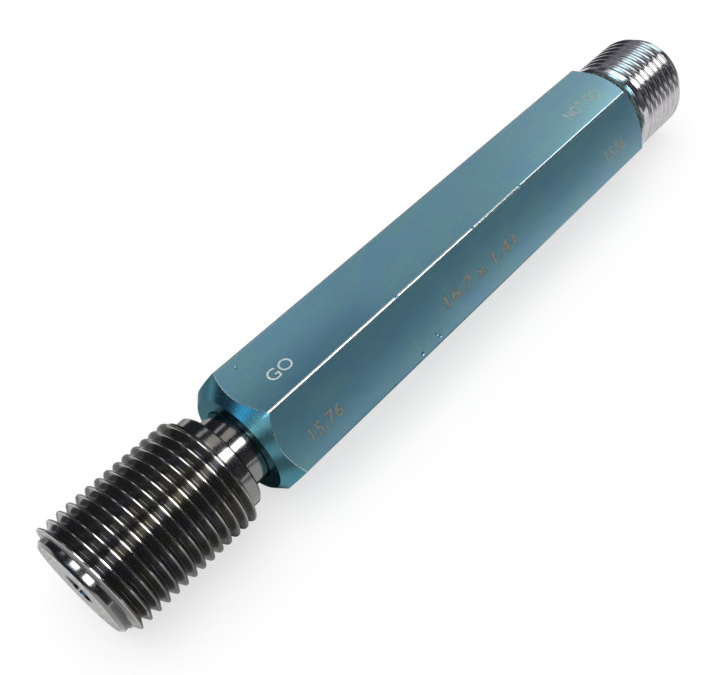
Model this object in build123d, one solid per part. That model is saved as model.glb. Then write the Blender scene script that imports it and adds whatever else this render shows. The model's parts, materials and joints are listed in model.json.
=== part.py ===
from build123d import *
import math
import os

# Thread plug gauge: a hexagonal handle with a GO plug in one end and a NOT GO plug in the other.
# Millimetres. X runs along the gauge from the GO end to the NOT GO end, and Z is up.
# The gauge lies on one flat of its handle, and the origin is the centre of that flat.

# Handle, whose flats stand out past the threads and keep them off the bench
FLATS_PROUD_OF_THREAD = 0.16
CORNER_RADIUS = 0.4
HANDLE_LENGTH = 84.3
END_CHAMFER = 1.15
END_CHAMFER_ANGLE = 45.0

# Taper that locks each plug in its socket
SHANK_DIAMETER = 10.56
TAPER_ON_DIAMETER = 1 / 48
SHANK_LENGTH = 20.0
SHANK_END_CHAMFER = 0.5
SOCKET_MOUTH_CHAMFER = 0.25

# Cross hole behind each shank, for the drift that pushes the plug out
DRIFT_HOLE_DIAMETER = 5.0
DRIFT_HOLE_CLEARANCE = 0.3
DRIFT_HOLE_EDGE_CHAMFER = 0.3
SOCKET_FLOOR_MARGIN = 0.5

# Straight pipe thread, single start, right-handed, with flat crests and sharp roots.
# Both plugs have the same grooves, and the NOT GO plug's crests are cut down to wider flats.
THREADS_PER_INCH = 18
FLANK_ANGLE = 30.0
CREST_SHARE_OF_PITCH = 1 / 8
GO_MAJOR_DIAMETER = 16.68
NOT_GO_CREST_TRUNCATION = 0.13
GO_THREAD_LENGTH = 19.45
NOT_GO_THREAD_LENGTH = 10.65

# Where the crest starts on the shoulder at the pilot, in degrees round the plug's own axis
GO_CREST_START = 3.5
NOT_GO_CREST_START = 218.0

# Plain turned lengths of the plugs
PILOT_RELIEF = 0.07
PILOT_EDGE_CHAMFER = 0.38
GO_PILOT_LENGTH = 1.15
NOT_GO_PILOT_LENGTH = 1.6
GO_COLLAR_RELIEF = 0.2
GO_COLLAR_CHAMFER = 0.25
GO_COLLAR_LENGTH = 1.9
NOT_GO_COLLAR_CHAMFER = 0.4
NOT_GO_COLLAR_LENGTH = 1.3
GO_NECK_LENGTH = 3.0
NOT_GO_NECK_LENGTH = 0.6

# Centre hole in the front of each plug
CENTRE_HOLE_DIAMETER = 4.6
CENTRE_HOLE_ANGLE = 60.0
CENTRE_DRILL_DIAMETER = 2.0
CENTRE_DRILL_DEPTH = 4.5

# Worked out from the sizes above
FULL_TURN = 360.0
HEXAGON_SIDES = 6
MM_PER_INCH = 25.4
NOT_GO_MAJOR_DIAMETER = GO_MAJOR_DIAMETER - 2 * NOT_GO_CREST_TRUNCATION
ACROSS_FLATS = GO_MAJOR_DIAMETER + 2 * FLATS_PROUD_OF_THREAD
END_FACE_DIAMETER = ACROSS_FLATS - 2 * END_CHAMFER
AXIS_HEIGHT = ACROSS_FLATS / 2
HALF_HANDLE = HANDLE_LENGTH / 2
PITCH = MM_PER_INCH / THREADS_PER_INCH
CREST_WIDTH = CREST_SHARE_OF_PITCH * PITCH
FLANK_SLOPE = math.tan(math.radians(FLANK_ANGLE))
THREAD_DEPTH = (PITCH - CREST_WIDTH) / 2 / FLANK_SLOPE
FULL_CREST_RADIUS = GO_MAJOR_DIAMETER / 2
ROOT_RADIUS = FULL_CREST_RADIUS - THREAD_DEPTH
PILOT_RADIUS = ROOT_RADIUS - PILOT_RELIEF
DRIFT_HOLE_INSET = SHANK_LENGTH + DRIFT_HOLE_CLEARANCE + DRIFT_HOLE_DIAMETER / 2
SOCKET_DEPTH = DRIFT_HOLE_INSET + DRIFT_HOLE_DIAMETER / 2 + SOCKET_FLOOR_MARGIN
# The drift holes are square to the pair of flats that leans this far from Y
DRIFT_HOLE_LEAN = FULL_TURN / HEXAGON_SIDES / 2


def shank_radius(depth):
    """Radius of the locking taper at a depth into the handle, which is negative outside the handle."""
    return (SHANK_DIAMETER - TAPER_ON_DIAMETER * depth) / 2


def turned(profile):
    """Solid turned about X from (x, radius) corners in order, the first and last of them on the axis."""
    return revolve(make_face(Polyline(*profile, close=True)), Axis.X)


def hexagonal_bar():
    """Bar with rounded corners whose ends are chamfered by a cone, which leaves a scallop on each flat."""
    hexagon = RegularPolygon(radius=ACROSS_FLATS / 2, side_count=HEXAGON_SIDES, major_radius=False)
    section = Plane.YZ * fillet(hexagon.vertices(), CORNER_RADIUS)
    bar = extrude(section, amount=HALF_HANDLE, both=True)
    end_face = END_FACE_DIAMETER / 2
    clear_of_corners = end_face + ACROSS_FLATS
    cone_run = ACROSS_FLATS / math.tan(math.radians(END_CHAMFER_ANGLE))
    cone_ends = turned(
        [
            (-HALF_HANDLE, 0),
            (-HALF_HANDLE, end_face),
            (-HALF_HANDLE + cone_run, clear_of_corners),
            (HALF_HANDLE - cone_run, clear_of_corners),
            (HALF_HANDLE, end_face),
            (HALF_HANDLE, 0),
        ]
    )
    return bar & cone_ends


def taper_socket():
    """Space for a shank, from its mouth at x = 0 along X to past the drift hole."""
    return turned(
        [
            (0, 0),
            (0, shank_radius(0) + SOCKET_MOUTH_CHAMFER),
            (SOCKET_MOUTH_CHAMFER, shank_radius(SOCKET_MOUTH_CHAMFER)),
            (SOCKET_DEPTH, shank_radius(SOCKET_DEPTH)),
            (SOCKET_DEPTH, 0),
        ]
    )


def drift_hole():
    """Cross hole through one pair of flats, with its edges broken where it comes out."""
    hole = DRIFT_HOLE_DIAMETER / 2
    edge = DRIFT_HOLE_EDGE_CHAMFER
    face = ACROSS_FLATS / 2
    bit = turned(
        [
            (-face - edge, 0),
            (-face - edge, hole + 2 * edge),
            (-face + edge, hole),
            (face - edge, hole),
            (face + edge, hole + 2 * edge),
            (face + edge, 0),
        ]
    )
    return Rot(X=DRIFT_HOLE_LEAN) * Rot(Z=90) * bit


def handle():
    """Hexagonal handle with a taper socket and a drift hole at each end."""
    body = hexagonal_bar()
    body -= Pos(X=-HALF_HANDLE) * taper_socket()
    body -= Pos(X=HALF_HANDLE) * Rot(Z=180) * taper_socket()
    body -= Pos(X=-HALF_HANDLE + DRIFT_HOLE_INSET) * drift_hole()
    body -= Pos(X=HALF_HANDLE - DRIFT_HOLE_INSET) * drift_hole()
    return body


def groove_turn():
    """One turn of the thread's V groove about X: its bottom starts at x = 0, in the direction of Y."""
    # The groove is cut a little past the full crest, but not so far that its turns meet
    overcut = CREST_WIDTH / 4 / FLANK_SLOPE
    lip_radius = FULL_CREST_RADIUS + overcut
    half_width = (THREAD_DEPTH + overcut) * FLANK_SLOPE
    bottom = Edge.make_helix(PITCH, PITCH, ROOT_RADIUS)
    near_lip = Edge.make_helix(PITCH, PITCH, lip_radius, center=(0, 0, -half_width))
    far_lip = Edge.make_helix(PITCH, PITCH, lip_radius, center=(0, 0, half_width))
    walls = [
        Face.make_surface_from_curves(bottom, near_lip),
        Face.make_surface_from_curves(bottom, far_lip),
        Face.make_surface_from_curves(near_lip, far_lip),
    ]
    for end in (0, 1):
        corners = [edge.position_at(end) for edge in (bottom, near_lip, far_lip)]
        walls.append(Face(Wire.make_polygon(corners, close=True)))
    return Plane.YZ * Solid(Shell(walls))


def threaded_length(crest_radius, length, crest_start):
    """Cylinder from x = 0 along X with a right-hand thread cut from end to end, turn by turn."""
    blank = turned([(0, 0), (0, crest_radius), (length, crest_radius), (length, 0)])
    turn = groove_turn()
    first = PITCH * (0.5 - crest_start / FULL_TURN) - PITCH
    count = math.ceil(length / PITCH) + 2
    return blank.solid().cut(*[Pos(X=first + PITCH * index) * turn for index in range(count)])


def turned_core(pilot_length, thread_length, collar_edge, neck_length):
    """All of a plug but its thread, with its front at x = 0: pilot, collar, neck and taper shank."""
    thread_end = pilot_length + thread_length
    collar_end = collar_edge[-1][0]
    shank_end = collar_end + neck_length + SHANK_LENGTH
    return turned(
        [
            (0, 0),
            (0, PILOT_RADIUS - PILOT_EDGE_CHAMFER),
            (PILOT_EDGE_CHAMFER, PILOT_RADIUS),
            (thread_end, PILOT_RADIUS),
            (thread_end, collar_edge[0][1]),
            *collar_edge,
            (collar_end, shank_radius(-neck_length)),
            (shank_end - SHANK_END_CHAMFER, shank_radius(SHANK_LENGTH - SHANK_END_CHAMFER)),
            (shank_end, shank_radius(SHANK_LENGTH) - SHANK_END_CHAMFER),
            (shank_end, 0),
        ]
    )


def centre_hole():
    """Space of the drilled and countersunk centre in the front of a plug."""
    mouth = CENTRE_HOLE_DIAMETER / 2
    drill = CENTRE_DRILL_DIAMETER / 2
    cone = (mouth - drill) / math.tan(math.radians(CENTRE_HOLE_ANGLE / 2))
    return turned([(0, 0), (0, mouth), (cone, drill), (CENTRE_DRILL_DEPTH, drill), (CENTRE_DRILL_DEPTH, 0)])


def plug(crest_radius, pilot_length, thread_length, collar_edge, neck_length, crest_start):
    """Thread plug with its front at x = 0 and its shank along X. The collar's edge is (x, radius) corners."""
    body = turned_core(pilot_length, thread_length, collar_edge, neck_length)
    body += Pos(X=pilot_length) * threaded_length(crest_radius, thread_length, crest_start)
    return body - centre_hole()


def go_plug():
    """Long plug, which goes all the way into a good threaded hole. Its front is towards -X."""
    collar = ROOT_RADIUS - GO_COLLAR_RELIEF
    collar_end = GO_PILOT_LENGTH + GO_THREAD_LENGTH + GO_COLLAR_LENGTH
    collar_edge = [
        (collar_end - GO_COLLAR_CHAMFER, collar),
        (collar_end, collar - GO_COLLAR_CHAMFER),
    ]
    body = plug(
        FULL_CREST_RADIUS,
        GO_PILOT_LENGTH,
        GO_THREAD_LENGTH,
        collar_edge,
        GO_NECK_LENGTH,
        GO_CREST_START,
    )
    return Pos(X=-HALF_HANDLE - collar_end - GO_NECK_LENGTH) * body


def not_go_plug():
    """Short plug, which should not enter by more than a few turns. Its front is towards +X."""
    crest = NOT_GO_MAJOR_DIAMETER / 2
    collar_end = NOT_GO_PILOT_LENGTH + NOT_GO_THREAD_LENGTH + NOT_GO_COLLAR_LENGTH
    # This collar is as wide as the crests, and its chamfer is as steep as their flanks
    collar_edge = [
        (collar_end - NOT_GO_COLLAR_CHAMFER * FLANK_SLOPE, crest),
        (collar_end, crest - NOT_GO_COLLAR_CHAMFER),
    ]
    body = plug(
        crest,
        NOT_GO_PILOT_LENGTH,
        NOT_GO_THREAD_LENGTH,
        collar_edge,
        NOT_GO_NECK_LENGTH,
        NOT_GO_CREST_START,
    )
    return Pos(X=HALF_HANDLE + collar_end + NOT_GO_NECK_LENGTH) * Rot(Z=180) * body


PIECES = {
    "handle": handle(),
    "go_plug": go_plug(),
    "not_go_plug": not_go_plug(),
}

os.makedirs("parts", exist_ok=True)
for name, piece in PIECES.items():
    export_step(Pos(Z=AXIS_HEIGHT) * piece, os.path.join("parts", name + ".step"))
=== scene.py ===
import json
import logging
from cmath import rect
from dataclasses import dataclass, field
from enum import Enum
from math import ceil, cos, degrees, hypot, pi, radians, sin, sqrt, tan, tau
from typing import Any, Optional, Sequence, Union

import bmesh
import bpy
from mathutils import Matrix, Quaternion, Vector


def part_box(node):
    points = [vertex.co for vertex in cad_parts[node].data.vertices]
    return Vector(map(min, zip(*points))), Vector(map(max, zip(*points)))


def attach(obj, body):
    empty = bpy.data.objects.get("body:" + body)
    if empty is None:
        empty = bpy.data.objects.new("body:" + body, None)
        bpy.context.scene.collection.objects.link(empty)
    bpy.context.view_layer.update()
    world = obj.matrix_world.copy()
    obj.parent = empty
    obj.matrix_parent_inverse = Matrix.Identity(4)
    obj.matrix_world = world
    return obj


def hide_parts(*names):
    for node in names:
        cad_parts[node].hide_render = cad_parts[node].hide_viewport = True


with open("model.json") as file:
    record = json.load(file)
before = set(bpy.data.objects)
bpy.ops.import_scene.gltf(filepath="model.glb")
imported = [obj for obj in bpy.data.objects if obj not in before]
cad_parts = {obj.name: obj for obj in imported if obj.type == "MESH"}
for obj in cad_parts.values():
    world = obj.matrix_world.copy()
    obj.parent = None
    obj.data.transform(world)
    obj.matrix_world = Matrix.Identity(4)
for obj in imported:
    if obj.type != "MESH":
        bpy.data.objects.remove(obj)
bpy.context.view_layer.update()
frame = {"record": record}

# A thread plug gauge on a white table: a blue hexagonal handle with a screw plug in each end.
# Sizes are in millimetres along X from the GO end to the NOT GO end, and meshes are made in metres.

LOG = logging.getLogger("gauge")
BODY = "root"
MM = 0.001
FULL_TURN = 360.0
HEXAGON_SIDES = 6
SIDE = FULL_TURN / HEXAGON_SIDES
SPARE_TURNS = 3
ARC_STEP = 20.0
SAME_PLACE = 2e-7
SAME_OFFSET = 1e-9
SHARP_EDGE = 32.0
FLAT_FACE_WEIGHT = 90
NOISE_MIDDLE = 0.5

# Numbers of a Mix node's two colour inputs and of its colour output.
MIX_COLOURS = (6, 7)
MIX_RESULT = 2

# Places of the studio's cards: the left wall's X, the front wall's Y, and the heights of the ceiling
# and of the strip lights under it.
LEFT = -178.0
FRONT = -200.0
TOP = 176.0
STRIPS = 152.0

Colour = tuple[float, float, float]
Point = tuple[float, float, float]
Span = tuple[float, float]
Profile = list[tuple[float, float]]
Piece = bpy.types.Object
Material = bpy.types.Material
WHITE: Colour = (1.0, 1.0, 1.0)
WARM: Colour = (1.0, 0.99, 0.96)


def mount_size(name: str, size: str) -> float:
    """A size that the record gives for a mount."""
    return next(row for row in frame["record"]["mounts"] if row["name"] == name)["dims"][size]


def opaque(colour: Colour) -> tuple[float, float, float, float]:
    """A colour with full alpha."""
    return (*colour, 1.0)


def add_object(name: str, data: Any) -> Piece:
    """An object of the scene that shows a mesh, a text, a lamp or a camera."""
    made = bpy.data.objects.new(name, data)
    bpy.context.scene.collection.objects.link(made)
    return made


class Wire:
    """One output of a shader graph. Arithmetic on it adds Math nodes to that graph."""

    def __init__(self, graph: "ShaderGraph", socket: Optional[bpy.types.NodeSocket]) -> None:
        """Keep the graph and the socket."""
        self.graph = graph
        self.socket = socket

    def _math(self, operation: str, first: "Value", second: "Value") -> "Wire":
        """Result of a new Math node with an operation and two values."""
        return self.graph.node("ShaderNodeMath", {"operation": operation}, {0: first, 1: second})

    def __add__(self, other: "Value") -> "Wire":
        """Sum."""
        return self._math("ADD", self, other)

    __radd__ = __add__

    def __sub__(self, other: "Value") -> "Wire":
        """Difference."""
        return self._math("SUBTRACT", self, other)

    def __rsub__(self, other: "Value") -> "Wire":
        """Difference from a number."""
        return self._math("SUBTRACT", other, self)

    def __mul__(self, other: "Value") -> "Wire":
        """Product."""
        return self._math("MULTIPLY", self, other)

    __rmul__ = __mul__

    def square_root(self) -> "Wire":
        """Square root."""
        return self._math("SQRT", self, 0.0)

    def maximum(self, other: "Value") -> "Wire":
        """The larger of two values."""
        return self._math("MAXIMUM", self, other)

    def step(self, low: float, high: float) -> "Wire":
        """Rise smoothly from 0 at low to 1 at high."""
        settings = {"interpolation_type": "SMOOTHSTEP", "clamp": True}
        sockets = {"Value": self, "From Min": low, "From Max": high}
        return self.graph.node("ShaderNodeMapRange", settings, sockets)

    def rise(self, span: Span) -> "Wire":
        """Rise smoothly from 0 to 1 over a span in millimetres."""
        return self.step(span[0] * MM, span[1] * MM)


Value = Union[Wire, float, tuple[float, ...]]


@dataclass(frozen=True)
class Speckle:
    """Noise over the frame: cells to the metre along X, Y and Z, finer layers and their strength.

    Where it marks a surface, it shows from the first value of the noise and covers from the second.
    """

    scale: Point
    detail: float = 3.0
    roughness: float = 0.5
    shows: Span = (0.3, 0.7)


class ShaderGraph:
    """A node tree of a material or the world, built node by node."""

    def __init__(self, tree: bpy.types.NodeTree) -> None:
        """Start from an empty tree."""
        self.tree = tree
        tree.nodes.clear()

    def node(
        self,
        kind: str,
        settings: Optional[dict[str, Any]] = None,
        sockets: Optional[dict[Union[str, int], Value]] = None,
        output: Union[str, int] = 0,
    ) -> Wire:
        """Add one node.

        Args:
            kind: The node's type.
            settings: Its properties, set before its sockets.
            sockets: Values or wires by socket name or number.
            output: The output to return.

        Returns:
            The chosen output.
        """
        made = self.tree.nodes.new(kind)
        for name, value in (settings or {}).items():
            setattr(made, name, value)
        for name, value in (sockets or {}).items():
            if isinstance(value, Wire):
                self.tree.links.new(value.socket, made.inputs[name])
            else:
                made.inputs[name].default_value = value
        return Wire(self, made.outputs[output] if len(made.outputs) else None)

    def mix(self, factor: Value, first: Union[Wire, Colour], second: Union[Wire, Colour]) -> Wire:
        """Mix two colours.

        Args:
            factor: How much of the second colour shows.
            first: The colour at 0.
            second: The colour at 1.

        Returns:
            The mixed colour.
        """
        ends = [end if isinstance(end, Wire) else opaque(end) for end in (first, second)]
        sockets = {"Factor": factor, **dict(zip(MIX_COLOURS, ends))}
        return self.node("ShaderNodeMix", {"data_type": "RGBA"}, sockets, MIX_RESULT)

    def place(self) -> Wire:
        """Position in the frame, in metres."""
        return self.node("ShaderNodeTexCoord", output="Object")

    def part(self, vector: Wire, axis: str) -> Wire:
        """One part of a vector: X, Y or Z."""
        return self.node("ShaderNodeSeparateXYZ", sockets={0: vector}, output=axis)

    def reach(self, axis_height: float) -> Wire:
        """Distance from the gauge's axis, in metres, for an axis at a height in millimetres."""
        place = self.place()
        across = self.part(place, "Y")
        upwards = self.part(place, "Z") - axis_height * MM
        return (across * across + upwards * upwards).square_root()

    def noise(self, speckle: Speckle) -> Wire:
        """A noise, from 0 to 1."""
        sockets = {0: self.place(), 1: speckle.scale}
        spread = self.node("ShaderNodeVectorMath", {"operation": "MULTIPLY"}, sockets)
        sockets = {"Vector": spread, "Scale": 1.0, "Detail": speckle.detail, "Roughness": speckle.roughness}
        return self.node("ShaderNodeTexNoise", None, sockets)

    def bump(self, height: Wire, strength: float, depth: float) -> Wire:
        """A normal that follows a height at a strength, over a depth in millimetres."""
        sockets = {"Strength": strength, "Distance": depth * MM, "Height": height}
        return self.node("ShaderNodeBump", None, sockets)

    def show(self, surface: Wire) -> None:
        """Let the material show a surface."""
        self.node("ShaderNodeOutputMaterial", None, {"Surface": surface})

    def principled(self, sockets: dict[Union[str, int], Value]) -> None:
        """Let the material show a Principled surface."""
        self.show(self.node("ShaderNodeBsdfPrincipled", None, sockets))


def new_material(name: str) -> tuple[Material, ShaderGraph]:
    """A material and its empty graph."""
    material = bpy.data.materials.new(name)
    material.use_nodes = True
    return material, ShaderGraph(material.node_tree)


@dataclass(frozen=True)
class AnodisedFlat:
    """Satin anodised aluminium with faint drawn lines along the bar, and pale edges: partly bare metal,
    partly a painted highlight.

    The bar's axis is at axis_height, and chamfer_sum is what a point on the GO end's chamfer has for its
    distance from the axis less its place along it.
    """

    axis_height: float
    chamfer_sum: float
    blue: Colour = (0.088, 0.226, 0.318)
    green: Colour = (0.096, 0.248, 0.292)
    dusk: Colour = (0.075, 0.185, 0.255)
    worn_and_highlight: Colour = (0.60, 0.70, 0.73)
    metallic: float = 0.6
    roughness: float = 0.18
    coat: float = 0.6
    coat_roughness: float = 0.12
    patches: Speckle = Speckle((160.0, 320.0, 320.0), 4.0, 0.6, (0.38, 0.62))
    patch_roughness: float = 0.06
    lines: Speckle = Speckle((60.0, 9000.0, 9000.0), 3.0, 0.6)
    line_roughness: float = 0.10
    line_strength: float = 0.25
    line_depth: float = 0.004
    grain: Speckle = Speckle((1700.0, 1700.0, 1700.0), 3.0, 0.7, (0.45, 0.75))
    grain_strength: float = 0.6
    chips: Speckle = Speckle((900.0, 2500.0, 2500.0), 3.0, 0.6)
    corner_reach: Span = (9.65, 9.74)
    corner_rise: Span = (2.0, 4.0)
    corner_chips: Span = (0.2, 0.5)
    least_corner_pale: float = 0.4
    scallop_reach: Span = (-0.14, -0.035)
    scallop_chips: Span = (0.25, 0.55)

    def wear_and_highlight(self, graph: ShaderGraph) -> Wire:
        """How much of the pale edge colour shows, from 0 to 1, on the upper corners and along the GO end's
        scallops: partly bare metal, partly a painted highlight.
        """
        place = graph.place()
        reach = graph.reach(self.axis_height)
        chips = graph.noise(self.chips)
        # Only corners above the axis take the pale colour, where light from above catches them: a painted
        # highlight, broken up by chips.
        upper = (graph.part(place, "Z") - self.axis_height * MM).rise(self.corner_rise)
        chipped = self.least_corner_pale + (1.0 - self.least_corner_pale) * chips.step(*self.corner_chips)
        corner = reach.rise(self.corner_reach) * chipped * upper
        # The pale line along the GO end's scallops is partly wear, partly a painted highlight.
        past_chamfer = reach - graph.part(place, "X") - self.chamfer_sum * MM
        scallop = past_chamfer.rise(self.scallop_reach) * chips.step(*self.scallop_chips)
        return corner.maximum(scallop)

    def material(self) -> Material:
        """Make the material."""
        material, graph = new_material("anodised_flat")
        patches = graph.noise(self.patches)
        lines = graph.noise(self.lines)
        grain = graph.noise(self.grain).step(*self.grain.shows)
        tint = graph.mix(patches.step(*self.patches.shows), self.blue, self.green)
        tint = graph.mix(self.grain_strength * grain, tint, self.dusk)
        wear_and_highlight = self.wear_and_highlight(graph)
        uneven = self.line_roughness * (lines - NOISE_MIDDLE)
        uneven = uneven + self.patch_roughness * (patches - NOISE_MIDDLE)
        # Pale edges: partly bare metal, partly a painted highlight.
        graph.principled({
            "Base Color": graph.mix(wear_and_highlight, tint, self.worn_and_highlight),
            "Metallic": self.metallic + (1.0 - self.metallic) * wear_and_highlight,
            "Roughness": self.roughness + uneven,
            "Coat Weight": self.coat,
            "Coat Roughness": self.coat_roughness,
            "Normal": graph.bump(lines, self.line_strength, self.line_depth),
        })
        return material


@dataclass(frozen=True)
class AnodisedTurned:
    """Bright anodised aluminium with the fine rings that a lathe leaves."""

    blue: Colour = (0.072, 0.215, 0.295)
    deep: Colour = (0.082, 0.232, 0.268)
    glancing: Colour = (0.62, 0.84, 0.88)
    roughness: float = 0.26
    patches: Speckle = Speckle((500.0, 500.0, 500.0), 3.0, 0.6)
    rings_per_metre: float = 9000.0
    ring_detail: float = 2.0
    ring_roughness: float = 0.12
    ring_strength: float = 0.3
    ring_depth: float = 0.004

    def material(self, axis_height: float) -> Material:
        """Make the material, for a turning axis at a height in millimetres."""
        material, graph = new_material("anodised_turned")
        along = graph.part(graph.place(), "X")
        ringed = graph.node("ShaderNodeCombineXYZ", None, {"X": along, "Y": graph.reach(axis_height)})
        sockets = {"Vector": ringed, "Scale": self.rings_per_metre, "Detail": self.ring_detail}
        rings = graph.node("ShaderNodeTexNoise", None, sockets)
        patches = graph.noise(self.patches).step(*self.patches.shows)
        graph.principled({
            "Base Color": graph.mix(patches, self.blue, self.deep),
            "Metallic": 1.0,
            "Specular Tint": opaque(self.glancing),
            "Roughness": self.roughness + self.ring_roughness * (rings - NOISE_MIDDLE),
            "Normal": graph.bump(rings, self.ring_strength, self.ring_depth),
        })
        return material


@dataclass(frozen=True)
class GroundSteel:
    """Hardened steel with grinding lines round the plug, bright on its crests and painted darker in its
    grooves as shade.

    Its plain turned lengths are slightly dented, and the centre hole is painted dark as shade.
    """

    name: str = "ground_steel"
    bright: Colour = (0.36, 0.355, 0.345)
    dull: Colour = (0.27, 0.265, 0.26)
    turned: Colour = (0.215, 0.212, 0.21)
    # Painted shade: the thread's flanks and roots are darker and bluer than its crests and a little less
    # metallic, and the centre hole is darker still.
    groove_shade: Colour = (0.13, 0.135, 0.155)
    groove_shade_brown: Colour = (0.15, 0.142, 0.12)
    hole: Colour = (0.07, 0.06, 0.07)
    groove_dulling: float = 0.09
    roughness: float = 0.15
    lines: Speckle = Speckle((7000.0, 120.0, 120.0), 3.0, 0.6)
    line_height: float = 0.08
    line_roughness: float = 0.10
    dents: Speckle = Speckle((900.0, 700.0, 700.0), 2.0, 0.5)
    dent_height: float = 4.5
    relief_depth: float = 0.004
    stains: Speckle = Speckle((350.0, 350.0, 350.0), 4.0, 0.65)
    crest_stains: Span = (0.35, 0.7)
    groove_stains: Span = (0.4, 0.6)
    stain_roughness: float = 0.08
    hole_mouth: Span = (2.2, 2.3)
    groove_floor: Span = (7.21, 7.27)
    groove_mouth: Span = (8.10, 8.19)

    def material(self, axis_height: float) -> Material:
        """Make the material, for plugs whose axis is at a height in millimetres."""
        material, graph = new_material(self.name)
        lines, stains = graph.noise(self.lines), graph.noise(self.stains)
        reach = graph.reach(axis_height)
        outside_hole = reach.rise(self.hole_mouth)
        above_floor = reach.rise(self.groove_floor)
        below_mouth = 1.0 - reach.rise(self.groove_mouth)
        crests = graph.mix(stains.step(*self.crest_stains), self.bright, self.dull)
        # Painted shade in the grooves, between the thread's floor and mouth.
        grooves = graph.mix(stains.step(*self.groove_stains), self.groove_shade, self.groove_shade_brown)
        thread = graph.mix(below_mouth, crests, grooves)
        # Painted shade in the centre hole.
        plain = graph.mix(outside_hole, self.hole, self.turned)
        dents = self.dent_height * graph.noise(self.dents) * (1.0 - above_floor)
        uneven = self.line_roughness * (lines - NOISE_MIDDLE)
        uneven = uneven + self.stain_roughness * (stains - NOISE_MIDDLE)
        graph.principled({
            "Base Color": graph.mix(above_floor, plain, thread),
            "Metallic": 1.0 - self.groove_dulling * below_mouth * above_floor,
            "Roughness": self.roughness + uneven,
            "Normal": graph.bump(self.line_height * lines + dents, 1.0, self.relief_depth),
        })
        return material


@dataclass(frozen=True)
class LappedSteel:
    """Flat end faces of the plugs: paler, matt and finely mottled."""

    pale: Colour = (0.52, 0.52, 0.50)
    grey: Colour = (0.09, 0.09, 0.09)
    metallic: float = 0.45
    roughness: float = 0.42
    grain: Speckle = Speckle((2500.0, 2500.0, 2500.0), 4.0, 0.7, (0.46, 0.56))
    grain_share: float = 0.7
    grain_roughness: float = 0.2
    grain_strength: float = 0.4
    grain_depth: float = 0.01
    stains: Speckle = Speckle((420.0, 420.0, 420.0), 3.0, 0.6, (0.3, 0.75))

    def material(self) -> Material:
        """Make the material."""
        material, graph = new_material("lapped_steel")
        grain = graph.noise(self.grain)
        stains = graph.noise(self.stains).step(*self.stains.shows)
        mottle = (1.0 - self.grain_share) * stains + self.grain_share * grain.step(*self.grain.shows)
        graph.principled({
            "Base Color": graph.mix(mottle, self.pale, self.grey),
            "Metallic": self.metallic,
            "Roughness": self.roughness + self.grain_roughness * (grain - NOISE_MIDDLE),
            "Normal": graph.bump(grain, self.grain_strength, self.grain_depth),
        })
        return material


@dataclass(frozen=True)
class EtchedMark:
    """Burnt or bare metal of an etched mark, broken up as a hand-held etcher leaves it."""

    name: str
    light: Colour
    dark: Colour
    roughness: float = 0.6
    specks: Speckle = Speckle((5000.0, 5000.0, 5000.0), 3.0, 0.7, (0.35, 0.65))

    def material(self) -> Material:
        """Make the material."""
        material, graph = new_material(self.name)
        specks = graph.noise(self.specks).step(*self.specks.shows)
        colour = graph.mix(specks, self.light, self.dark)
        graph.principled({"Base Color": colour, "Roughness": self.roughness})
        return material


@dataclass(frozen=True)
class Corner:
    """A corner of a turned profile: place along the axis, distance from it and edge radius."""

    x: float
    r: float
    edge: float = 0.0


def rounded(corners: Sequence[Corner]) -> Profile:
    """Round the corners of a profile with arcs.

    Args:
        corners: The corners in order.

    Returns:
        Places along the axis and distances from it.
    """
    line = [(corners[0].x, corners[0].r)]
    for before, corner, after in zip(corners, corners[1:], corners[2:]):
        here = Vector((corner.x, corner.r))
        back = Vector((before.x, before.r)) - here
        ahead = Vector((after.x, after.r)) - here
        turn = pi - back.angle(ahead)
        run = corner.edge * tan(turn / 2)
        if run <= 0.0:
            line.append((corner.x, corner.r))
            continue
        start = here + back.normalized() * run
        end = here + ahead.normalized() * run
        inward = (back.normalized() + ahead.normalized()).normalized()
        middle = here + inward * (corner.edge / cos(turn / 2))
        steps = max(2, ceil(degrees(turn) / ARC_STEP))
        for index in range(steps + 1):
            spoke = start.lerp(end, index / steps) - middle
            point = middle + spoke.normalized() * corner.edge
            line.append((point.x, point.y))
    line.append((corners[-1].x, corners[-1].r))
    return line


def skin(name: str, columns: Sequence[Sequence[Point]]) -> Piece:
    """Close a ring of columns into one mesh.

    Args:
        name: The piece's name.
        columns: Points in millimetres, from pole to pole, in order round the axis. The last column lies
            on the first, and their points are welded.

    Returns:
        The piece, linked to the scene.
    """
    rows = len(columns[0])
    points = [Vector(point) * MM for column in columns for point in column]
    faces = []
    for index in range(len(columns) - 1):
        here, following = index * rows, (index + 1) * rows
        for row in range(rows - 1):
            faces.append((here + row, following + row, following + row + 1, here + row + 1))
    mesh = bpy.data.meshes.new(name)
    mesh.from_pydata(points, [], faces)
    shape = bmesh.new()
    shape.from_mesh(mesh)
    bmesh.ops.remove_doubles(shape, verts=shape.verts, dist=SAME_PLACE)
    bmesh.ops.dissolve_degenerate(shape, edges=shape.edges, dist=SAME_PLACE)
    bmesh.ops.recalc_face_normals(shape, faces=shape.faces)
    shape.to_mesh(mesh)
    shape.free()
    return add_object(name, mesh)


def smooth(piece: Piece) -> None:
    """Shade a piece smooth, with its sharp edges kept and its flat faces flat."""
    piece.data.shade_smooth()
    piece.data.set_sharp_from_angle(angle=radians(SHARP_EDGE))
    weighted = piece.modifiers.new("flat_faces", "WEIGHTED_NORMAL")
    weighted.keep_sharp = True
    weighted.weight = FLAT_FACE_WEIGHT


def stand_for(piece: Piece, node: str) -> None:
    """Let a piece ride on the gauge in place of a solid, which is hidden."""
    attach(piece, BODY)
    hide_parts(node)


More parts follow.
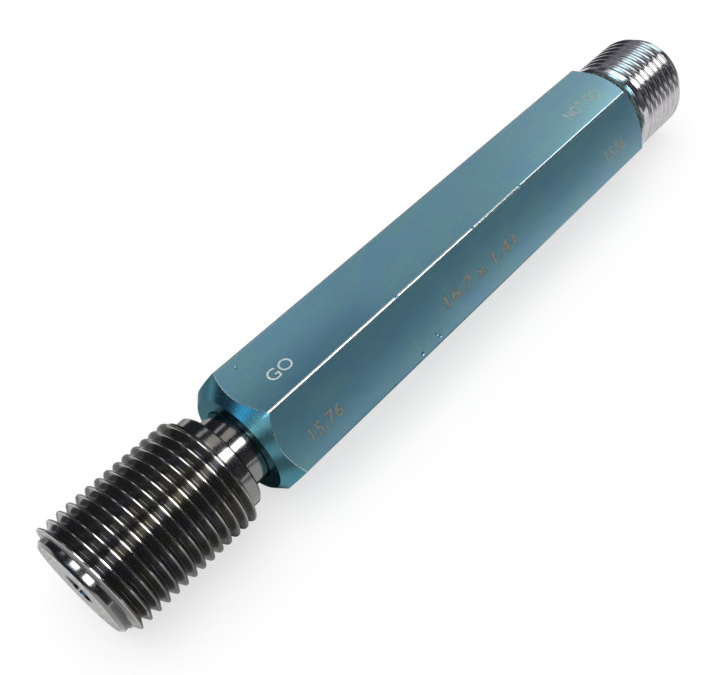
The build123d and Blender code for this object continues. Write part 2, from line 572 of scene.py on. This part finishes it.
@dataclass
class Taper:
    """Locking taper shared by the shanks and their sockets."""

    diameter: float = 10.56
    on_diameter: float = 1 / 48
    length: float = 20.0

    def radius(self, depth: float) -> float:
        """Radius at a depth into the handle, which is negative outside it."""
        return (self.diameter - self.on_diameter * depth) / 2


@dataclass(frozen=True)
class Nick:
    """A small dent: its place along the handle, degrees round it, and the ball that leaves it."""

    x: float
    turn: float
    radius: float
    depth: float


@dataclass
class Handle:
    """Hexagonal anodised handle with chamfered ends, taper sockets and drift holes."""

    taper: Taper
    corner_radius: float = 0.4
    end_chamfer: float = 1.15
    mouth_chamfer: float = 0.25
    socket_depth: float = 25.8
    drift_hole_diameter: float = 5.0
    drift_hole_inset: float = 22.8
    drift_hole_edge: float = 0.3
    drift_hole_lean: float = 30.0
    drift_hole_sides: int = 64
    scallop_edge: float = 0.08
    rim_edge: float = 0.08
    flat_columns: int = 18
    corner_columns: int = 8
    nick_subdivisions: int = 3
    turned_slope: float = 0.45
    nicks: tuple[Nick, ...] = (
        Nick(-16.0, 120.0, 0.34, 0.18),
        Nick(0.5, 120.0, 0.27, 0.18),
        Nick(11.6, 120.0, 0.28, 0.18),
        Nick(-22.6, 179.0, 0.30, 0.12),
        Nick(-16.5, 175.0, 0.45, 0.10),
        Nick(-13.0, 171.0, 0.45, 0.07),
        Nick(-12.6, 174.5, 0.40, 0.08),
        Nick(-37.4, 70.4, 0.60, 0.04),
    )
    half_length: float = field(init=False)
    apothem: float = field(init=False)

    def __post_init__(self) -> None:
        """Take the length and the width across flats from the frame."""
        low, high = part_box("handle")
        self.half_length = (high.x - low.x) / MM / 2
        self.apothem = (high.z - low.z) / MM / 2

    @property
    def corner_centre(self) -> float:
        """Distance from the axis to the centre of a corner's radius."""
        return (self.apothem - self.corner_radius) / cos(radians(SIDE / 2))

    @property
    def rim(self) -> float:
        """Radius where the end chamfers start."""
        return self.apothem - self.end_chamfer

    def reach_at(self, turn: float) -> float:
        """Distance from the axis to the surface, at so many degrees round it."""
        flat = self.apothem / cos(radians(turn % SIDE - SIDE / 2))
        return min(flat, self.corner_centre + self.corner_radius)

    def section(self) -> list[complex]:
        """Points round the hexagon with its rounded corners: across the axis, and upwards."""
        points = []
        half_flat = self.corner_centre * sin(radians(SIDE / 2))
        for corner in range(HEXAGON_SIDES):
            centre = rect(self.corner_centre, radians(corner * SIDE))
            for index in range(self.corner_columns + 1):
                facing = radians((corner - 0.5 + index / self.corner_columns) * SIDE)
                points.append(centre + rect(self.corner_radius, facing))
            facing = rect(1.0, radians((corner + 0.5) * SIDE))
            for index in range(1, self.flat_columns):
                along = half_flat * (2 * index / self.flat_columns - 1)
                points.append(complex(self.apothem, along) * facing)
        return points

    def profile(self, reach: float) -> Profile:
        """Profile of the handle in the half plane where the hexagon reaches so far from the axis."""
        end = self.half_length
        mouth = self.mouth_chamfer
        floor = self.socket_depth
        one_end = [
            Corner(-end + floor, 0.0),
            Corner(-end + floor, self.taper.radius(floor), self.rim_edge),
            Corner(-end + mouth, self.taper.radius(mouth), self.rim_edge),
            Corner(-end, self.taper.radius(0.0) + mouth, self.rim_edge),
            Corner(-end, self.rim, self.rim_edge),
            Corner(-end + reach - self.rim, reach, self.scallop_edge),
        ]
        other_end = [Corner(-corner.x, corner.r, corner.edge) for corner in reversed(one_end)]
        return rounded(one_end + other_end)

    def add_drift_hole(self, shape: bmesh.types.BMesh, x: float) -> None:
        """Add the space of a drift hole with broken edges, at a place along the axis."""
        hole, edge, face = self.drift_hole_diameter / 2, self.drift_hole_edge, self.apothem
        mouth = hole + 2 * edge
        profile = ((-face - edge, mouth), (-face + edge, hole), (face - edge, hole), (face + edge, mouth))
        lean = Matrix.Rotation(radians(self.drift_hole_lean), 4, "X")
        centre = Vector((x, 0.0, self.apothem))
        sides = self.drift_hole_sides
        turns = [tau * index / sides for index in range(sides)]
        rings = []
        for along, radius in profile:
            spots = [Vector((radius * cos(turn), along, radius * sin(turn))) for turn in turns]
            rings.append([shape.verts.new((lean @ spot + centre) * MM) for spot in spots])
        for first, second in zip(rings, rings[1:]):
            for index in range(sides):
                following = (index + 1) % sides
                shape.faces.new((first[index], first[following], second[following], second[index]))
        shape.faces.new(reversed(rings[0]))
        shape.faces.new(rings[-1])

    def add_nick(self, shape: bmesh.types.BMesh, nick: Nick) -> None:
        """Add the ball that leaves a nick."""
        turn = radians(nick.turn)
        out = self.reach_at(nick.turn) + nick.radius - nick.depth
        place = Vector((nick.x, out * cos(turn), self.apothem + out * sin(turn))) * MM
        spot, radius = Matrix.Translation(place), nick.radius * MM
        bmesh.ops.create_icosphere(shape, subdivisions=self.nick_subdivisions, radius=radius, matrix=spot)

    def cutters(self) -> Piece:
        """Spaces of the drift holes and the nicks, as one mesh."""
        shape = bmesh.new()
        for side in (-1, 1):
            self.add_drift_hole(shape, side * (self.half_length - self.drift_hole_inset))
        for nick in self.nicks:
            self.add_nick(shape, nick)
        bmesh.ops.recalc_face_normals(shape, faces=shape.faces)
        mesh = bpy.data.meshes.new("handle_cutters")
        shape.to_mesh(mesh)
        shape.free()
        return add_object("handle_cutters", mesh)

    def build(self) -> Piece:
        """Build the handle's mesh and let it stand for its solid."""
        columns = []
        section = self.section()
        for point in section + section[:1]:
            way = point / abs(point)
            line = self.profile(abs(point))
            columns.append([(x, r * way.real, self.apothem + r * way.imag) for x, r in line])
        piece = skin("hexagon_handle", columns)
        cutters = self.cutters()
        cut = piece.modifiers.new("holes_and_nicks", "BOOLEAN")
        cut.operation = "DIFFERENCE"
        cut.solver = "EXACT"
        cut.object = cutters
        graph = bpy.context.evaluated_depsgraph_get()
        piece.data = bpy.data.meshes.new_from_object(piece.evaluated_get(graph))
        piece.data.name = "hexagon_handle"
        piece.modifiers.clear()
        bpy.data.objects.remove(cutters)
        smooth(piece)
        stand_for(piece, "handle")
        return piece

    def dress(self, piece: Piece) -> None:
        """Give the flats the satin finish and the turned ends the bright one."""
        piece.data.materials.clear()
        piece.data.materials.append(AnodisedFlat(self.apothem, self.half_length + self.rim).material())
        piece.data.materials.append(AnodisedTurned().material(self.apothem))
        for polygon in piece.data.polygons:
            reach = hypot(polygon.center.y, polygon.center.z - self.apothem * MM)
            turned = abs(polygon.normal.x) > self.turned_slope or reach < self.rim * MM
            polygon.material_index = 1 if turned else 0


class PlugEnd(Enum):
    """The two ends of the gauge: the plug's node, its thread's mount and the way that it points along X."""

    GO = ("go_plug", "go_thread", -1)
    NOT_GO = ("not_go_plug", "not_go_thread", 1)

    def __init__(self, node: str, mount: str, pointing: int) -> None:
        """Keep the names of the solid and of its mount, and the way."""
        self.node = node
        self.mount = mount
        self.pointing = pointing


@dataclass
class Collar:
    """Plain collar behind a thread: its length, its drop below the crests and the chamfer at the handle."""

    length: float
    drop: float
    chamfer: float
    chamfer_angle: float


@dataclass
class ThreadPlug:
    """Screw plug, in millimetres from its front face: pilot, thread, collar, neck and taper shank."""

    end: PlugEnd
    finish: GroundSteel
    taper: Taper
    axis_height: float
    full_crest: float
    pilot_length: float
    collar: Collar
    neck_length: float
    crest_start: float
    pitch: float = 25.4 / 18
    flank_angle: float = 30.0
    crest_share: float = 1 / 8
    pilot_relief: float = 0.07
    pilot_chamfer: float = 0.38
    shank_chamfer: float = 0.5
    hole_diameter: float = 4.6
    hole_angle: float = 60.0
    drill_diameter: float = 2.0
    drill_depth: float = 4.5
    crest_edge: float = 0.05
    root_edge: float = 0.05
    turned_edge: float = 0.05
    columns: int = 240
    flank_rows: int = 3
    flat_slope: float = 0.97
    front: float = field(init=False)
    major: float = field(init=False)
    thread_length: float = field(init=False)

    def __post_init__(self) -> None:
        """Take the front face, the crest radius and the thread's length from the frame."""
        low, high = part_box(self.end.node)
        self.front = (low.x if self.end.pointing < 0 else high.x) / MM
        self.major = mount_size(self.end.mount, "r_mm")
        self.thread_length = mount_size(self.end.mount, "length_mm")

    @property
    def slope(self) -> float:
        """Run of a flank along the axis for its rise."""
        return tan(radians(self.flank_angle))

    @property
    def root(self) -> float:
        """Radius at the bottom of the thread."""
        return self.full_crest - self.pitch * (1 - self.crest_share) / 2 / self.slope

    def one_pitch(self) -> Profile:
        """Thread form from one root to the next, with eased edges: offset from the crest, and radius."""
        half_crest = self.crest_share * self.pitch / 2 + (self.full_crest - self.major) * self.slope
        half = self.pitch / 2
        flank = []
        for index in range(self.flank_rows + 1):
            share = index / self.flank_rows
            radius = self.root + (self.major - self.root) * share
            flank.append(Corner(-half + (half - half_crest) * share, radius))
        flank[-1] = Corner(-half_crest, self.major, self.crest_edge)
        lead_in = Corner(-half - (half - half_crest) / self.flank_rows, flank[1].r)
        flank[0] = Corner(-half, self.root, self.root_edge)
        other = [Corner(-corner.x, corner.r, corner.edge) for corner in reversed(flank)]
        line = rounded([lead_in] + flank + other + [Corner(-lead_in.x, lead_in.r)])
        return [(x, r) for x, r in line if abs(x) <= half + SAME_OFFSET]

    def thread_row(self, angle: float) -> Profile:
        """The thread's profile at an angle round the plug.

        Args:
            angle: Degrees round the plug's own axis.

        Returns:
            Places along the axis and radii, cut off square at both ends of the thread.
        """
        start, end = self.pilot_length, self.pilot_length + self.thread_length
        form = self.one_pitch()
        shift = (angle - self.crest_start) / FULL_TURN
        first = start + self.pitch * (shift - 1.0)
        turns = ceil(self.thread_length / self.pitch) + SPARE_TURNS
        line = [(first + self.pitch * turn + x, r) for turn in range(turns) for x, r in form]
        at_ends = {place: self.radius_on(line, place) for place in (start, end)}
        cut = [(min(max(x, start), end), r) for x, r in line]
        return [(x, at_ends.get(x, r)) for x, r in cut]

    @staticmethod
    def radius_on(line: Profile, place: float) -> float:
        """Radius of a profile at a place along the axis."""
        for (x0, r0), (x1, r1) in zip(line, line[1:]):
            if x0 <= place <= x1 and x1 > x0:
                return r0 + (r1 - r0) * (place - x0) / (x1 - x0)
        return line[-1][1]

    def front_profile(self) -> Profile:
        """Profile from the bottom of the centre hole to the shoulder at the thread's start."""
        hole, drill = self.hole_diameter / 2, self.drill_diameter / 2
        cone = (hole - drill) / tan(radians(self.hole_angle / 2))
        pilot = self.root - self.pilot_relief
        return rounded([
            Corner(self.drill_depth, 0.0),
            Corner(self.drill_depth, drill),
            Corner(cone, drill),
            Corner(0.0, hole, self.turned_edge),
            Corner(0.0, pilot - self.pilot_chamfer, self.turned_edge),
            Corner(self.pilot_chamfer, pilot, self.turned_edge),
            Corner(self.pilot_length, pilot),
        ])

    def back_profile(self) -> Profile:
        """Profile from the thread's end along the collar, neck and shank to its end."""
        thread_end = self.pilot_length + self.thread_length
        collar = self.major - self.collar.drop
        collar_end = thread_end + self.collar.length
        chamfer = self.collar.chamfer
        run = chamfer * tan(radians(self.collar.chamfer_angle))
        shank_end = collar_end + self.neck_length + self.taper.length
        easing = self.shank_chamfer
        return rounded([
            Corner(thread_end, collar),
            Corner(collar_end - run, collar, self.turned_edge),
            Corner(collar_end, collar - chamfer, self.turned_edge),
            Corner(collar_end, self.taper.radius(-self.neck_length), self.turned_edge),
            Corner(shank_end - easing, self.taper.radius(self.taper.length - easing)),
            Corner(shank_end, self.taper.radius(self.taper.length) - easing),
            Corner(shank_end, 0.0),
        ])

    def build(self) -> Piece:
        """Build the plug's mesh and let it stand for its solid."""
        front, back = self.front_profile(), self.back_profile()
        way = -self.end.pointing
        columns = []
        for index in range(self.columns + 1):
            angle = FULL_TURN * index / self.columns
            spoke = rect(1.0, radians(angle))
            column = []
            for x, r in front + self.thread_row(angle) + back:
                column.append((self.front + way * x, way * r * spoke.real, self.axis_height + r * spoke.imag))
            columns.append(column)
        piece = skin(self.end.node.replace("plug", "screw_plug"), columns)
        smooth(piece)
        stand_for(piece, self.end.node)
        return piece

    def dress(self, piece: Piece, lapped: Material) -> None:
        """Give the flat faces the lapped finish and everything else the ground one."""
        piece.data.materials.clear()
        piece.data.materials.append(self.finish.material(self.axis_height))
        piece.data.materials.append(lapped)
        for polygon in piece.data.polygons:
            polygon.material_index = 1 if abs(polygon.normal.x) > self.flat_slope else 0


class MarkFace(Enum):
    """Flat of the handle that a mark is etched on: the way it faces and the way its text stands."""

    UPPER = ((0.0, 0.0, 1.0), (0.0, 1.0, 0.0))
    NEAR = ((0.0, -sqrt(0.75), 0.5), (0.0, 0.5, sqrt(0.75)))


@dataclass
class EtchedWord:
    """A generic word or figure etched on a flat of the handle: strokes on a slightly wider dark edge, partly
    burnt metal and partly a painted shadow.
    """

    name: str
    text: str
    face: MarkFace
    x: float
    below_middle: float
    height: float
    length: float
    finish: EtchedMark
    edge_finish: EtchedMark
    proud: float = 0.008
    edge_proud: float = 0.004
    sunk: float = 0.004
    burnt_edge: float = 0.03
    curve_steps: int = 4

    def letters(self, swelling: float) -> bpy.types.Mesh:
        """The text as a mesh one unit thick, with its strokes swollen by a share of its size."""
        curve = bpy.data.curves.new(self.name, "FONT")
        curve.body = self.text
        curve.align_x = "LEFT"
        curve.offset = swelling
        curve.resolution_u = self.curve_steps
        curve.extrude = 0.5
        text = add_object(self.name + "_text", curve)
        graph = bpy.context.evaluated_depsgraph_get()
        mesh = bpy.data.meshes.new_from_object(text.evaluated_get(graph))
        bpy.data.objects.remove(text)
        return mesh

    def build(self, handle: Handle) -> Piece:
        """Build the mark on its flat.

        Args:
            handle: The handle that carries it.

        Returns:
            The mark as a thin mesh.
        """
        layers = ((self.letters(0.0), self.proud), (self.letters(self.burnt_edge), self.edge_proud))
        strokes = layers[0][0].vertices
        xs, ys = [v.co.x for v in strokes], [v.co.y for v in strokes]
        left, low = min(xs), min(ys)
        stretch, rise = self.length / (max(xs) - left), self.height / (max(ys) - low)
        outward, upright = Vector(self.face.value[0]), Vector(self.face.value[1])
        centre = Vector((0.0, 0.0, handle.apothem)) + outward * handle.apothem
        shape = bmesh.new()
        for index, (letters, proud) in enumerate(layers):
            for vertex in letters.vertices:
                along = self.x + (vertex.co.x - left) * stretch
                up = (vertex.co.y - low) * rise - self.below_middle
                out = proud if vertex.co.z > 0 else -self.sunk
                vertex.co = (centre + Vector((along, 0, 0)) + upright * up + outward * out) * MM
            laid = len(shape.faces)
            shape.from_mesh(letters)
            shape.faces.ensure_lookup_table()
            for face in shape.faces[laid:]:
                face.material_index = index
        mesh = bpy.data.meshes.new(self.name)
        shape.to_mesh(mesh)
        shape.free()
        mesh.materials.append(self.finish.material())
        mesh.materials.append(self.edge_finish.material())
        piece = add_object(self.name, mesh)
        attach(piece, BODY)
        return piece


@dataclass(frozen=True)
class GlowCard:
    """A card that shows only in reflections: its corners in order, colour, strength and soft edge."""

    name: str
    corners: tuple[Point, ...]
    colour: Colour
    strength: float
    soft_edge: float = 0.0

    def cover(self, graph: ShaderGraph) -> Wire:
        """How much of a level card shows: 1 inside, falling to 0 over its soft edge."""
        place = graph.place()
        inside = []
        for axis, part in enumerate("XY"):
            spots = [corner[axis] for corner in self.corners]
            low, high, soft = min(spots), max(spots), self.soft_edge
            here = graph.part(place, part)
            inside.append(here.rise((low, low + soft)) * (1.0 - here.rise((high - soft, high))))
        return inside[0] * inside[1]

    def glow(self) -> Material:
        """Make the card's glowing material."""
        material, graph = new_material(self.name + "_glow")
        sockets = {"Color": opaque(self.colour), "Strength": self.strength}
        light = graph.node("ShaderNodeEmission", None, sockets)
        if self.soft_edge > 0.0:
            clear = graph.node("ShaderNodeBsdfTransparent")
            light = graph.node("ShaderNodeMixShader", None, {0: self.cover(graph), 1: clear, 2: light})
        graph.show(light)
        material.cycles.emission_sampling = "NONE"
        return material


def between(spots: Span, first: Span, second: Span) -> Profile:
    """Corners of a flat shape between two edges, each given where it starts and ends."""
    return [(spots[0], first[0]), (spots[1], first[1]), (spots[1], second[1]), (spots[0], second[0])]


def level(along: Span, near: Span, far: Span, height: float) -> tuple[Point, ...]:
    """Corners of a level card: its span of X, and the Y of its near and far edges."""
    return tuple((x, y, height) for x, y in between(along, near, far))


def side(x: float, across: Span, low: Span, high: Span) -> tuple[Point, ...]:
    """Corners of a card that faces along X: its span of Y, and the heights of its two edges."""
    return tuple((x, y, z) for y, z in between(across, low, high))


def front(along: Span, low: float, high: float) -> tuple[Point, ...]:
    """Corners of a card beyond the near edge of the table, which faces the gauge."""
    return tuple((x, FRONT, z) for x, z in between(along, (low, low), (high, high)))


@dataclass
class Studio:
    """White table, soft light, dark surroundings for the steel to mirror, and the camera."""

    image_width: int = 721
    image_height: int = 675
    focal_pixels: float = 927.55
    principal_x: float = 417.33
    principal_y: float = 396.92
    sensor: float = 36.0
    camera_place: Point = (-77.11, -62.42, 105.54)
    camera_aim: Point = (-22.21, -13.13, 8.5)
    camera_roll: float = -3.208
    camera_clip: Span = (0.005, 50.0)
    floor_reach: float = 3000.0
    floor_colour: Colour = (0.93, 0.93, 0.925)
    floor_roughness: float = 0.7
    floor_specular: float = 0.2
    floor_glow: float = 0.65
    dome_reach: Point = (430.0, 430.0, 300.0)
    dome_colour: Colour = (0.050, 0.053, 0.070)
    ambient: float = 0.75
    key_size: float = 700.0
    key_place: Point = (-80.0, 60.0, 650.0)
    key_power: float = 2.6
    cards: tuple[GlowCard, ...] = (
        GlowCard("front_lamp", level((-66, -42), (-18, -15), (34, 40), TOP), WHITE, 8.0),
        GlowCard("overhead_strip", level((-42, -10), (-14, -12), (47, 52), TOP), WARM, 6.5),
        GlowCard("overhead_gap", level((-10, 150), (-12, -18), (52, 85), TOP), (1.0, 0.95, 0.85), 0.9),
        GlowCard("overhead_window", level((150, 340), (-18, -28), (72, 110), TOP), (0.78, 0.96, 1.0), 2.4),
        GlowCard("overhead_window_far", level((150, 340), (72, 110), (85, 130), TOP), (0.96, 1.0, 0.94), 2.1),
        GlowCard("golden_strip", level((-75, -8), (-122, -122), (-60, -60), STRIPS), (1.0, 0.95, 0.81), 13.0),
        GlowCard("white_strip", level((-8, 48), (-118, -118), (-58, -58), STRIPS), (1.0, 0.98, 0.93), 9.0),
        GlowCard("white_strip_end", level((48, 115), (-118, -112), (-58, -52), STRIPS), WARM, 9.0),
        GlowCard(
            "left_window",
            ((LEFT, -15, 82), (LEFT, -60, 57), (LEFT, -73, 81), (LEFT, -27, 106)), (1.0, 1.0, 0.98), 8.0
        ),
        GlowCard(
            "left_lamp_low", side(-110, (-6.5, -15), (23.5, 23.5), (31.5, 31.5)), (1.0, 0.97, 0.88), 7.0
        ),
        GlowCard("left_window_high", side(LEFT + 1, (33, 92), (98, 104), (136, 140)), (0.62, 0.92, 1.0), 3.4),
        GlowCard("cool_window", side(LEFT, (8, 56), (50, 50), (90, 90)), (0.20, 0.68, 1.0), 2.5),
        GlowCard(
            "left_wall",
            ((LEFT, -15, 98), (LEFT, 210, 92), (LEFT, 210, 230), (LEFT, -27, 230)), (0.92, 0.90, 1.0), 0.3
        ),
        GlowCard("ceiling_left", level((-60, 80), (111, 108), (150, 150), TOP), (0.95, 0.98, 1.0), 0.95),
        GlowCard("ceiling_middle", level((80, 190), (94, 88), (150, 150), TOP), (0.95, 0.98, 1.0), 0.75),
        GlowCard("ceiling_right", level((190, 340), (98, 131), (150, 150), TOP), (1.0, 0.98, 0.98), 0.9),
        GlowCard("table_beyond", front((-270, 110), 0.2, 7), WHITE, 1.7),
        GlowCard("table_beyond_end", front((110, 330), 0.2, 7), WHITE, 2.2),
        GlowCard("front_wall", front((-270, 330), 7, 100), (0.92, 0.97, 1.0), 0.10),
        GlowCard("right_wall", side(300, (-260, 260), (2, 2), (170, 120)), (0.95, 0.90, 1.0), 0.34),
        GlowCard("shaded_table", level((-69, -46), (-140, -140), (140, 140), 0.1), WHITE, 0.32, 4.0),
        GlowCard("shaded_far", level((-56, -30), (9, 9), (140, 140), 0.12), WHITE, 0.46, 4.0),
        GlowCard("plug_shadow", level((-54, -34), (-7.5, -7.5), (11, 11), 0.2), WHITE, 0.03, 3.0),
        GlowCard("shaded_neck", level((-36, 28), (-120, -120), (-4, -4), 0.1), (1.0, 0.97, 0.93), 0.28, 12.0),
    )

    @staticmethod
    def seen(graph: ShaderGraph) -> Wire:
        """1 for rays from the camera, mirror-like rays and rays through glass, and 0 for the rest."""
        names = ("Is Camera Ray", "Is Glossy Ray", "Is Transmission Ray")
        camera, glossy, transmission = [graph.node("ShaderNodeLightPath", output=name) for name in names]
        return camera.maximum(glossy).maximum(transmission)

    @staticmethod
    def only_in_reflections(piece: Piece) -> None:
        """Hide a card from everything but mirror-like rays."""
        for ray in ("camera", "diffuse", "transmission", "shadow", "volume_scatter"):
            setattr(piece, "visible_" + ray, False)

    def lay_floor(self) -> None:
        """Lay a wide pale table top, which keeps the gauge's shadow."""
        bpy.ops.mesh.primitive_plane_add(size=2 * self.floor_reach * MM, location=(0, 0, 0))
        floor = bpy.context.object
        floor.name = "table_top"
        material, graph = new_material("white_table")
        sockets = {
            "Base Color": opaque(self.floor_colour),
            "Roughness": self.floor_roughness,
            "Specular IOR Level": self.floor_specular,
        }
        paper = graph.node("ShaderNodeBsdfPrincipled", None, sockets)
        white = graph.node("ShaderNodeEmission", None, {"Color": opaque(WHITE), "Strength": 1.0})
        shown = self.seen(graph) * self.floor_glow
        graph.show(graph.node("ShaderNodeMixShader", None, {0: shown, 1: paper, 2: white}))
        floor.data.materials.append(material)

    def hang_cards(self) -> None:
        """A dark dome round the gauge, with bright cards in front of it, all seen only in reflections."""
        bpy.ops.mesh.primitive_uv_sphere_add(segments=48, ring_count=24, radius=1.0)
        dome = bpy.context.object
        dome.name = "dark_dome"
        dome.scale = Vector(self.dome_reach) * MM
        dome.data.materials.append(GlowCard("dark_surroundings", (), self.dome_colour, 1.0).glow())
        self.only_in_reflections(dome)
        for card in self.cards:
            mesh = bpy.data.meshes.new(card.name)
            mesh.from_pydata([Vector(corner) * MM for corner in card.corners], [], [(0, 1, 2, 3)])
            mesh.materials.append(card.glow())
            self.only_in_reflections(add_object(card.name, mesh))

    def light(self) -> None:
        """Soft light from above, and even light from all round."""
        lamp = bpy.data.lights.new("softbox", "AREA")
        lamp.shape = "SQUARE"
        lamp.size = self.key_size * MM
        lamp.energy = self.key_power
        softbox = add_object("softbox", lamp)
        softbox.location = Vector(self.key_place) * MM
        softbox.rotation_mode = "QUATERNION"
        softbox.rotation_quaternion = (-Vector(self.key_place)).to_track_quat("-Z", "Y")
        softbox.visible_glossy = False
        world = bpy.data.worlds.new("white_room")
        bpy.context.scene.world = world
        world.use_nodes = True
        graph = ShaderGraph(world.node_tree)
        strength = self.seen(graph) * (1.0 - self.ambient) + self.ambient
        sky = graph.node("ShaderNodeBackground", None, {"Color": opaque(WHITE), "Strength": strength})
        graph.node("ShaderNodeOutputWorld", None, {"Surface": sky})

    def aim_camera(self) -> None:
        """Put the camera where the photograph was taken from."""
        data = bpy.data.cameras.new("camera")
        data.sensor_fit = "HORIZONTAL"
        data.sensor_width = self.sensor
        data.lens = self.focal_pixels * self.sensor / self.image_width
        data.shift_x = (self.image_width / 2 - self.principal_x) / self.image_width
        data.shift_y = (self.principal_y - self.image_height / 2) / self.image_width
        data.clip_start, data.clip_end = self.camera_clip
        camera = add_object("camera", data)
        place, aim = Vector(self.camera_place) * MM, Vector(self.camera_aim) * MM
        camera.location = place
        camera.rotation_mode = "QUATERNION"
        untilted = (aim - place).to_track_quat("-Z", "Y")
        camera.rotation_quaternion = untilted @ Quaternion((0, 0, 1), radians(self.camera_roll))
        bpy.context.scene.camera = camera

    def build(self) -> None:
        """Set up the table, the cards, the light and the camera."""
        bpy.context.scene.view_settings.view_transform = "Standard"
        self.lay_floor()
        self.hang_cards()
        self.light()
        self.aim_camera()


# The GO plug's steel is a darker copy of the NOT GO plug's: painted shade, with painted shade in its grooves
# too.
SHADED_STEEL = GroundSteel()
LIGHTER_STEEL = GroundSteel(
    name="clean_steel",
    bright=(0.54, 0.53, 0.55),
    dull=(0.46, 0.45, 0.47),
    turned=(0.36, 0.35, 0.36),
    groove_shade=(0.52, 0.51, 0.53),
    groove_shade_brown=(0.45, 0.44, 0.46),
    groove_dulling=0.0,
    roughness=0.16,
)
PALE_ETCH = EtchedMark("pale_etch", (0.56, 0.63, 0.62), (0.24, 0.34, 0.36))
BROWN_ETCH = EtchedMark("brown_etch", (0.27, 0.24, 0.18), (0.10, 0.12, 0.11))
FAINT_ETCH = EtchedMark("faint_etch", (0.36, 0.37, 0.30), (0.17, 0.26, 0.28))
# The dark edges round the strokes are partly burnt metal and partly a painted shadow beside them.
FAINT_EDGE = EtchedMark("faint_edge", (0.15, 0.26, 0.30), (0.09, 0.18, 0.21))
EDGE_BURN_AND_SHADOW = EtchedMark("burnt_edge", (0.055, 0.105, 0.12), (0.025, 0.05, 0.06))


def make_plugs(handle: Handle) -> list[Piece]:
    """Build and dress the two plugs, which share one thread form and lapped end faces."""
    lapped = LappedSteel().material()
    shared = {
        "taper": handle.taper,
        "axis_height": handle.apothem,
        "full_crest": mount_size(PlugEnd.GO.mount, "r_mm"),
    }
    plugs = [
        ThreadPlug(
            PlugEnd.GO,
            SHADED_STEEL,
            **shared,
            pilot_length=1.15,
            collar=Collar(length=1.9, drop=1.27, chamfer=0.25, chamfer_angle=45.0),
            neck_length=3.0,
            crest_start=3.5,
        ),
        ThreadPlug(
            PlugEnd.NOT_GO,
            LIGHTER_STEEL,
            **shared,
            pilot_length=1.6,
            collar=Collar(length=1.3, drop=0.0, chamfer=0.4, chamfer_angle=30.0),
            neck_length=0.6,
            crest_start=218.0,
        ),
    ]
    pieces = []
    for plug in plugs:
        piece = plug.build()
        plug.dress(piece, lapped)
        pieces.append(piece)
    return pieces


def make_words(handle: Handle) -> list[Piece]:
    """Etch the generic words that tell the two ends apart, and plain figures on the next flat."""
    words = [
        EtchedWord("mark_go", "GO", MarkFace.UPPER, -36.1, 2.2, 1.85, 3.9, PALE_ETCH, EDGE_BURN_AND_SHADOW),
        EtchedWord("mark_not_go", "NOT GO", MarkFace.UPPER, 28.9, 2.3, 1.9, 8.5, FAINT_ETCH, FAINT_EDGE),
        EtchedWord("mark_go_size", "15.76", MarkFace.NEAR, -36.7, 2.3, 1.8, 5.7, BROWN_ETCH, EDGE_BURN_AND_SHADOW),
        EtchedWord("mark_thread", "16.7 x 1.41", MarkFace.NEAR, -9.3, 1.7, 1.8, 16.0, BROWN_ETCH, EDGE_BURN_AND_SHADOW),
        EtchedWord("mark_not_go_size", "15.86", MarkFace.NEAR, 30.9, 2.4, 1.8, 5.0, BROWN_ETCH, FAINT_EDGE),
    ]
    return [word.build(handle) for word in words]


def main() -> None:
    """Build the gauge and its surroundings."""
    logging.basicConfig(level=logging.INFO, format="%(name)s: %(message)s")
    handle = Handle(Taper())
    body = handle.build()
    handle.dress(body)
    pieces = [body, *make_plugs(handle), *make_words(handle)]
    Studio().build()
    for piece in pieces:
        LOG.info("%s: %d faces", piece.name, len(piece.data.polygons))


if __name__ == "__main__":
    main()
